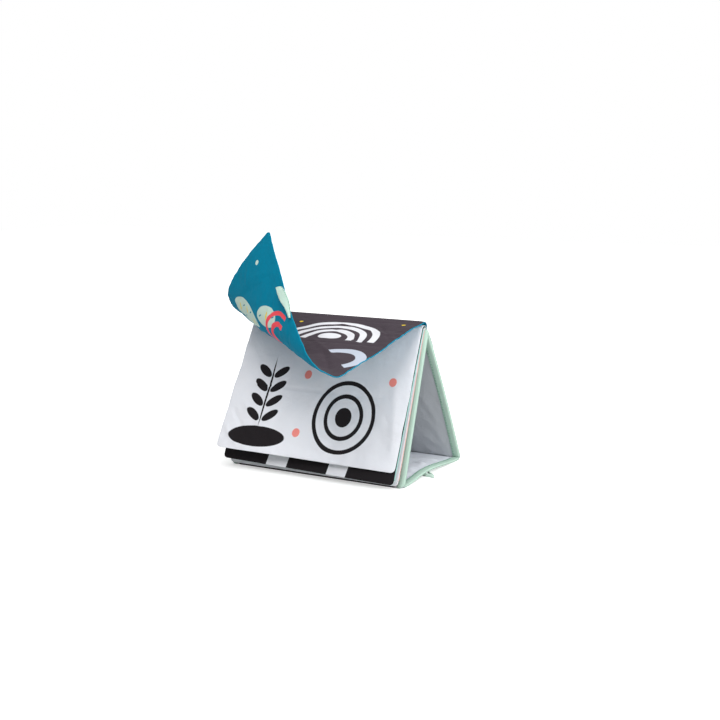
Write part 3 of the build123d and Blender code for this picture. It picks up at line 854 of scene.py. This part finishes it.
# creases of the back cover's inner side, fanned out from both ends of its foot: places across and up in mm
fanCreases = [((84, 3), (52, 10), 1.1, 1.8), ((82, 6), (56, 26), 0.9, 2.2), ((80, 10), (66, 46), 0.8, 2.4),
              ((70, 2), (36, 5), 0.8, 1.6), ((40, 14), (10, 30), 0.5, 3.0), ((76, 40), (62, 84), 0.5, 3.0)]
fanCreases += [((-a[0], a[1]), (-b[0], b[1]), depth, wide) for a, b, depth, wide in fanCreases]
backCloth = coverShell("backSleeve", backCover, backTop, skinIn, skinOut, sleeveReach, shadeGreySleeveCloth,
                       "cover_cloth", 4, fanCreases)
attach(backCloth, "back_cover")
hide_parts("back_cover_cloth")
facingReach = halfWidth - easel["tapeWidth"] - sleeve["facingGap"]
facingHeight = easel["frontSlant"] - sleeve["facingTop"]
facing = coverShell("frontFacing", frontCover, facingHeight, 0, skinIn, facingReach, facingCloth,
                    "dark_facing", 6)
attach(facing, "front_cover")
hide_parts("front_cover_facing")
for board in ("front_cover_board", "back_cover_board"):
    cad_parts[board].data.materials.clear()
    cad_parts[board].data.materials.append(boardCard)


# Binding tape, folded over every end and sewn with two lines of stitches. The front cover's runs on over
# the ridge
def tapeSection(thickness):  # the tape's folded section: distance in from the end, and depth
    cap, fold, layer, width = easel["tapeCap"], tape["round"], easel["tape"], easel["tapeWidth"]
    outline = [(width, tape["hemSink"]), (width - tape["hem"], 0)]
    outline += [(width * share, -tape["bulge"] * math.sin(math.pi * share)) for share in tape["bulgeAt"]]
    for k in range(tape["roundSteps"] + 1):
        angle = quarterTurn * k / tape["roundSteps"]
        outline.append((fold - fold * math.sin(angle), fold - fold * math.cos(angle)))
    low = [(inward, thickness - depth) for inward, depth in reversed(outline)]
    inner = [(width, layer), (cap + tape["inner"], layer), (cap, layer + tape["inner"])]
    return outline + low + [(inward, thickness - depth) for inward, depth in inner] + inner[::-1]


def tapeStations(cover, top):  # outer and inner lines of a cover, a pair of points at each station up it
    stations = []
    for share in evenly(0, 1, round(top / tape["pitch"])):
        outer, inner = (fitted(cover, top, depth, share) for depth in (0, easel["thickness"]))
        stations.append((onCover(cover, outer, 0), onCover(cover, inner, easel["thickness"]), top * share))
    return stations


def ridgeStations():  # on from the front cover's top, round the ridge to the hinge line
    outer = overTop(easel["ridgeRadius"] + easel["tape"], tape["ridgeSteps"])
    outer = [onCover(frontCover, frontTop, 0).lerp(outer[0], 0.5)] + outer
    outer += [outer[-1].lerp(hingeLine, 0.5), hingeLine]
    return [(point, pivot + (point - pivot).normalized() * tape["inner"], frontTop) for point in outer]


def coverTape(name, stations, side, body, replaced):
    loops = []
    for outer, inner, along in stations:
        cut = footCut(along)
        sway = tape["sway"] * grain(along / tape["swayPitch"], 0, 40 + side)
        inwardWay = (inner - outer).normalized()
        loop = []
        for inward, depth in tapeSection(easel["thickness"]):
            if depth < easel["thickness"] / 2:
                point = outer + inwardWay * depth
            else:
                point = inner - inwardWay * (easel["thickness"] - depth)
            x = halfWidth - inward - cut * (1 - inward / easel["tapeWidth"])
            if inward >= easel["tapeWidth"] / 2:  # only the sewn border wanders
                x += sway
            point.x = side * x
            loop.append(point)
        loops.append(loop)
    piece = skin(name, loops, tapeCloth, "binding_tape")
    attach(piece, body)
    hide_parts(replaced)


def coverStitches(name, cover, top, side, body):
    line = []
    for inward in tape["lines"]:
        x = side * (halfWidth - inward)
        for depth, sign, bare in ((-tape["bulge"], 1, tape["bareOutside"]),
                                  (easel["thickness"] + tape["bulge"], -1, tape["bareInside"])):
            for i in range(round((top - bare) / thread["pitch"])):
                along = tape["firstStitch"] + thread["pitch"] * i
                here, ahead = onCover(cover, along, depth, x), onCover(cover, along + mm, depth, x)
                outward = (onCover(cover, along, depth - sign * mm, x) - here).normalized()
                line.append((here, (ahead - here).normalized(), outward))
    piece = stitches(name, line, paleThread, "binding_tape")
    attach(piece, body)


for side, end in ((1, "right"), (-1, "left")):
    frontStations = tapeStations(frontCover, frontTop) + ridgeStations()
    backStations = tapeStations(backCover, backTop)
    coverTape(f"frontTape{end.title()}", frontStations, side, "front_cover", f"front_binding_{end}")
    coverTape(f"backTape{end.title()}", backStations, side, "back_cover", f"back_binding_{end}")
    coverStitches(f"frontTapeStitches{end.title()}", frontCover, frontTop, side, "front_cover")
    coverStitches(f"backTapeStitches{end.title()}", backCover, backTop, side, "back_cover")
print("covers made")

# Base: a soft cloth with a crease across it, its ends bound as the covers' are
base = {"cloth": 1.6 * mm, "creaseLift": 3.8 * mm, "creasePlace": 0.42, "rearGap": 0.4 * mm,
        "foldKeep": 0.117, "pitch": 1.6 * mm, "wrinkle": 2.0 * mm, "wide": (26 * mm, 11 * mm),
        "wideShare": 0.6, "narrow": (9 * mm, 7 * mm), "narrowShare": 0.45, "ridges": (40 * mm, 13 * mm),
        "ridgeShare": 0.4, "ridgeSharp": 4, "raised": 0.4, "calmEdge": (-0.5 * mm, 9 * mm),
        "deepest": 0.5 * mm, "underShare": 0.6, "swayWaves": 12, "bare": 12 * mm, "firstStitch": 0.04,
        "stitchAhead": 0.01, "underThread": 0.06 * mm}
baseCreases = [
    ((86, 30), (40, 20), -1.2, 2.2), ((84, 46), (30, 40), -1.0, 2.6), ((82, 62), (46, 84), -1.1, 2.4),
    ((84, 92), (28, 104), -1.2, 2.4), ((60, 50), (8, 66), -0.9, 3.0), ((80, 76), (20, 78), 0.8, 2.0),
    ((-84, 34), (-30, 24), -1.1, 2.4), ((-82, 70), (-24, 90), -1.1, 2.6), ((-70, 50), (-6, 44), -0.8, 3.0),
]
baseCloth = clothMaterial("baseCloth", (222, 226, 234), across="floor", crumple=2.0)
creaseY = footFlat / 2 + (easel["baseDepth"] - 2 * footFlat) * base["creasePlace"]


def onBase(x, share, lift):
    lead = footFlat / 2 + lift * math.tan(frontLean)
    tail = backCover["foot"].y - easel["thickness"] / math.cos(backLean) - base["rearGap"]
    tail -= lift * math.tan(backLean)
    y = lead + (tail - lead) * share
    climb = (y - lead) / (creaseY - lead) if y < creaseY else (tail - y) / (tail - creaseY)
    return Vector((x, y, lift + base["creaseLift"] * (1 - math.cos(math.pi * climb)) / 2))


def baseWrinkle(x, share):
    y = share * easel["baseDepth"]
    clear = halfWidth - easel["tapeWidth"] - abs(x)
    calm = math.sin(math.pi * min(max(share, 0), 1)) ** 0.5 * ease(clear, *base["calmEdge"])
    waveAt, rippleAt, ridgeAt = ((x / across, y / deep) for across, deep in
                                 (base["wide"], base["narrow"], base["ridges"]))
    wave = base["wideShare"] * (grain(*waveAt, 51) + base["narrowShare"] * grain(*rippleAt, 55))
    ridge = base["ridgeShare"] * max(1 - base["ridgeSharp"] * abs(grain(*ridgeAt, 58)), 0)
    fold = max(-creaseDepth(baseCreases, x, y), -base["deepest"])
    return calm * (base["wrinkle"] * (wave + base["raised"] + ridge) + fold)


def baseTop(x, share):
    return x, share, easel["tape"] + base["cloth"] + baseWrinkle(x, share)


def baseUnder(x, share):
    return x, share, easel["tape"] + base["underShare"] * baseWrinkle(x, share)


baseColumns = round(2 * sleeveReach / base["pitch"])
baseShares = evenly(0, 1, round(easel["baseDepth"] / base["pitch"]))
basePiece = shell("baseCloth", onBase, evenly(-sleeveReach, sleeveReach, baseColumns), baseShares,
                  baseTop, baseUnder, baseCloth, "base_lining")
baseThickness = base["cloth"] + 2 * easel["tape"]
stitchCount = round((easel["baseDepth"] - base["bare"]) / thread["pitch"])
foldingPieces = [basePiece]
for side, end in ((1, "right"), (-1, "left")):
    loops = []
    for share in baseShares:
        sway = tape["sway"] * grain(share * base["swayWaves"], 0, 60 + side)
        loop = []
        for inward, depth in tapeSection(baseThickness):
            x = side * (halfWidth - inward + sway * (inward / easel["tapeWidth"]))
            loop.append(onBase(x, share, baseThickness - depth))
        loops.append(loop)
    piece = skin(f"baseTape{end.title()}", loops, tapeCloth, "binding_tape")
    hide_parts(f"base_binding_{end}")
    foldingPieces.append(piece)
    line = []
    for inward in tape["lines"]:
        x = side * (halfWidth - inward)
        for lift, sign in ((baseThickness + tape["bulge"], 1), (-base["underThread"], -1)):
            for i in range(stitchCount):
                share = base["firstStitch"] + (1 - 2 * base["firstStitch"]) * i / stitchCount
                here, ahead = onBase(x, share, lift), onBase(x, share + base["stitchAhead"], lift)
                line.append((here, (ahead - here).normalized(), Vector((0, 0, sign))))
    foldingPieces.append(stitches(f"baseTapeStitches{end.title()}", line, paleThread, "binding_tape"))

# Ribbon loop that stands on edge under the crease
ribbon = {"height": 3.2 * mm, "thickness": 0.9 * mm, "reach": 8 * mm, "inset": 5.5 * mm, "spread": 13 * mm,
          "turnFrom": 0.86, "turnTo": 0.12, "turnWide": 0.6, "turnOff": 0.02, "steps": 8, "turnSteps": 5,
          "sides": 12, "edges": (0.5, 0.3)}


def ribbonLoops():
    start = Vector((halfWidth - ribbon["inset"], creaseY - ribbon["spread"] / 4, 0))
    tip = Vector((halfWidth + ribbon["reach"], creaseY - ribbon["spread"] / 2, 0))
    end = Vector((halfWidth - ribbon["inset"] / 2, creaseY + ribbon["spread"] / 4, 0))
    path = [start.lerp(tip, share) for share in evenly(0, ribbon["turnFrom"], ribbon["steps"])]
    turn = tip.lerp(end, ribbon["turnOff"])
    before = path[-1] - turn
    for i in range(1, ribbon["turnSteps"]):
        path.append(turn + before * (1 - i / ribbon["turnSteps"]) ** 2 * ribbon["turnWide"])
    path += [tip.lerp(end, share) for share in evenly(ribbon["turnTo"], 1, ribbon["steps"])]
    loops = []
    for i, place in enumerate(path):
        ahead = path[min(i + 1, len(path) - 1)] - path[max(i - 1, 0)]
        side = ahead.normalized().cross(Vector((0, 0, 1)))
        ring = []
        for k in range(ribbon["sides"]):
            angle = 2 * math.pi * k / ribbon["sides"]
            wide, tall = (math.copysign(abs(way) ** power, way) / 2
                          for way, power in zip((math.cos(angle), math.sin(angle)), ribbon["edges"]))
            high = ribbon["height"] * (0.5 + tall)
            ring.append(place + side * wide * ribbon["thickness"] + Vector((0, 0, high)))
        loops.append(ring)
    return loops


ribbonCloth = clothMaterial("ribbonCloth", (214, 236, 224), across="front", crumple=0.6)
loopPiece = skin("ribbonLoop", ribbonLoops(), ribbonCloth, "binding_tape")
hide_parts("fold_strap")
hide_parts("base_cloth")
foldingPieces.append(loopPiece)
for piece in foldingPieces:
    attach(piece, "front_cover")
    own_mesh(piece)
print("base made")

# Strip of cloth sewn over the leaves' seam behind the ridge and down over the hinge
strip = {"taper": 0.03, "taperTo": 9 * mm, "cloth": 0.6 * mm, "length": 20 * mm, "margin": 0.6 * mm,
         "gap": 0.35 * mm, "bulge": 2.1 * mm, "ramp": 6 * mm, "clear": 0.1 * mm, "blend": 8 * mm,
         "lap": 3.2 * mm, "lapRows": 4, "rows": 16, "columns": 60}
stripTop = easel["backSlant"] - (skinIn + easel["ridgeRadius"]) / math.tan(halfAngle)


def onStrip(across, down, lift):
    across *= 1 - strip["taper"] * (1 - ease(down, 0, strip["taperTo"]))
    if down < 0:  # still on the outer leaf's turn
        above = leaves["cloth"] + strip["clear"] + lift
        return liftedLeaf(across + leaves["width"] / 2, -overLifted - down, above)
    bulge = strip["bulge"] * (1 - ease(down, 0, strip["ramp"]))
    return onCover(backCover, stripTop - down, -(strip["gap"] + bulge + lift), across)


def stripOuter(across, down):
    return across, down, strip["cloth"]


def stripInner(across, down):
    return across, down, 0.0


stripReach = halfWidth - strip["margin"]
stripAcross = evenly(-stripReach, stripReach, strip["columns"])
stripDown = evenly(-strip["lap"], 0, strip["lapRows"])[:-1] + evenly(0, strip["length"], strip["rows"])
stripPiece = shell("spineStrip", onStrip, stripAcross, stripDown, stripOuter, stripInner, shadeGreySleeveCloth,
                   "cover_cloth")
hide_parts("spine_strip")
tuple(onStrip(0, 0, 0))
tuple(onStrip(0, strip["blend"], 0))
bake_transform(stripPiece)
print("spine strip made")

# Stage: its fade to white is in metres from the book
stage = {"floorSize": 6.0, "floor": 0.8, "roughness": 0.9, "gloss": 0.1, "glow": 0.5, "sky": 0.26,
         "fade": (0.16, 0.55)}


def seenDirectly(tree):  # 1 for what the camera sees straight, in a mirror or through glass
    path = tree.nodes.new("ShaderNodeLightPath")
    seen = number(tree, "MAXIMUM", path.outputs["Is Camera Ray"], path.outputs["Is Glossy Ray"])
    return number(tree, "MAXIMUM", seen, path.outputs["Is Transmission Ray"])


bpy.ops.mesh.primitive_plane_add(size=stage["floorSize"])
floor = bpy.context.object
floor.name = "floor"
floorPaint, tree, surface = newMaterial("floorPaint")
surface.inputs["Base Color"].default_value = (stage["floor"], stage["floor"], stage["floor"], 1)
surface.inputs["Roughness"].default_value = stage["roughness"]
surface.inputs["Specular IOR Level"].default_value = stage["gloss"]
surface.inputs["Emission Color"].default_value = (1, 1, 1, 1)
distance = put(tree, "VectorMath", {0: put(tree, "TexCoord", {}, out=3)}, out=1, operation="LENGTH")
near, far = stage["fade"]
glow = put(tree, "MapRange", {0: distance, 1: near, 2: far, 3: stage["glow"], 4: 1.0})
tree.links.new(number(tree, "MULTIPLY", seenDirectly(tree), glow), surface.inputs["Emission Strength"])
floor.data.materials.append(floorPaint)

world = bpy.data.worlds.new("studio")
scene.world = world
world.use_nodes = True
tree = world.node_tree
sky = tree.nodes["Background"]
sky.inputs[0].default_value = (1, 1, 1, 1)
share = number(tree, "MULTIPLY", seenDirectly(tree), 1 - stage["sky"])
tree.links.new(number(tree, "ADD", share, stage["sky"]), sky.inputs[1])

lamps = {
    "key": {"place": (0.2, -0.75, 1.1), "size": 0.8, "power": 11.8},
    "fill": {"place": (0.98, -0.2, 0.55), "size": 0.8, "power": 8.0},
    "back": {"place": (0.3, 0.9, 0.7), "size": 0.8, "power": 4.0},
}
aim = Vector((0, 55 * mm, 70 * mm))
for name, lamp in lamps.items():
    light = bpy.data.lights.new(name, "AREA")
    light.size = lamp["size"]
    light.energy = lamp["power"]
    source = bpy.data.objects.new(name, light)
    source.location = lamp["place"]
    source.rotation_euler = (aim - source.location).to_track_quat("-Z", "Y").to_euler()
    scene.collection.objects.link(source)

view = {"azimuth": 29.44, "elevation": 9.66, "distance": 1.07501, "lens": 58.63, "sensor": 36,
        "nearest": 0.05, "target": (13.89 * mm, 57.68 * mm, 97.01 * mm)}
azimuth, elevation = math.radians(view["azimuth"]), math.radians(view["elevation"])
back = Vector((math.sin(azimuth) * math.cos(elevation), -math.cos(azimuth) * math.cos(elevation),
               math.sin(elevation)))
lens = bpy.data.cameras.new("camera")
lens.lens = view["lens"]
lens.sensor_width = view["sensor"]
lens.clip_start = view["nearest"]
camera = bpy.data.objects.new("camera", lens)
camera.location = Vector(view["target"]) + back * view["distance"]
camera.rotation_euler = (-back).to_track_quat("-Z", "Y").to_euler()
scene.collection.objects.link(camera)
scene.camera = camera
scene.view_settings.view_transform = "Standard"
print("stage, lamps and camera made")
